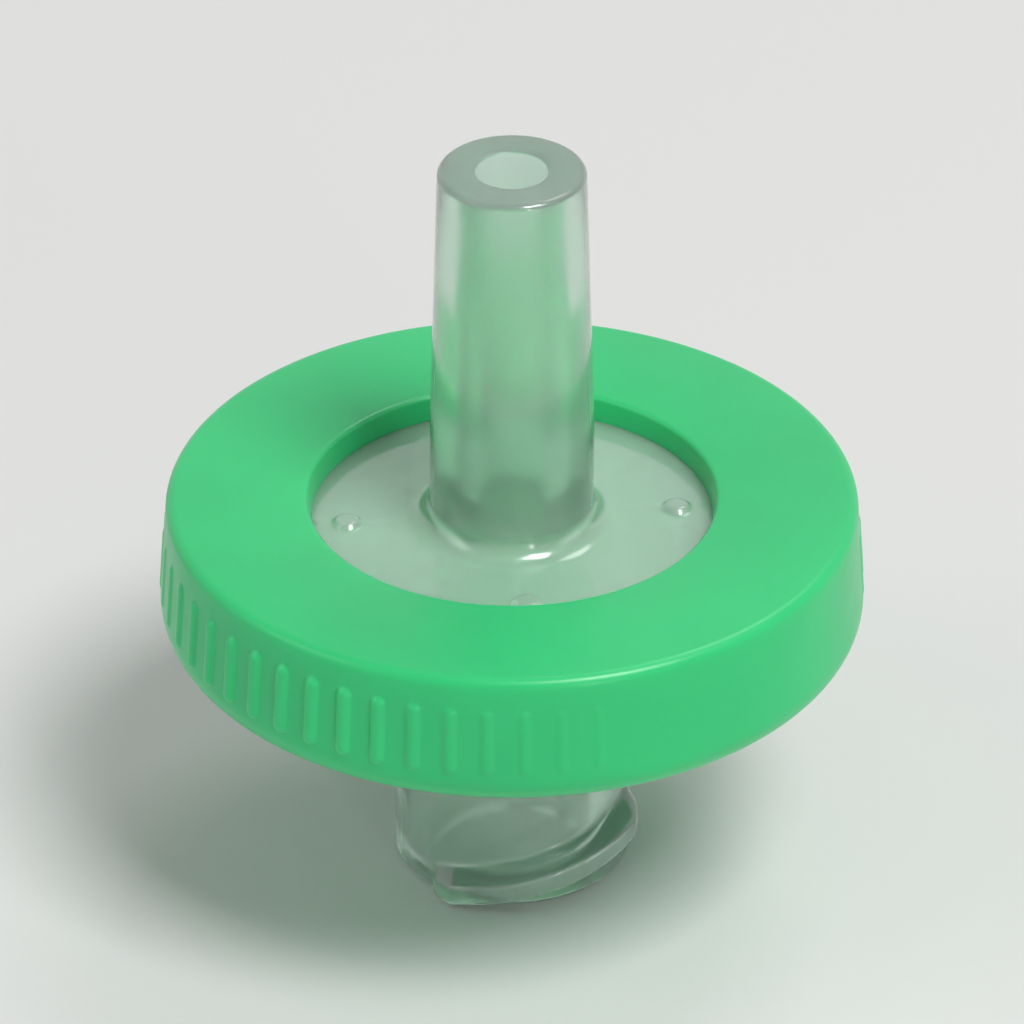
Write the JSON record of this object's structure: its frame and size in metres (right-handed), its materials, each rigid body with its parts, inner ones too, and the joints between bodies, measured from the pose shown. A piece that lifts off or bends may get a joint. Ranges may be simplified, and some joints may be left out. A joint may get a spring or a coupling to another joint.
{
  "type": "syringe filter",
  "caption": "Round membrane filter for a syringe, with a soft ribbed grip ring, a Luer lock inlet socket and a longer Luer slip outlet tube.",
  "frame": {"origin": "centre of the inlet's mouth, in the plane that the filter stands on", "axes": "+Z along the flow axis from the inlet to the outlet; +X through the middle of one group of grip ribs and the start of one lock lug"},
  "size_m": [0.0194, 0.019, 0.0212],
  "materials": {
    "shell": "frosted, translucent",
    "ring": "smooth, satin gloss",
    "membrane": "matt, porous"
  },
  "bodies": {
    "root": {"inlet_housing": "shell", "outlet_housing": "shell", "membrane": "membrane", "overmould_ring": "ring"}
  },
  "joints": []
}
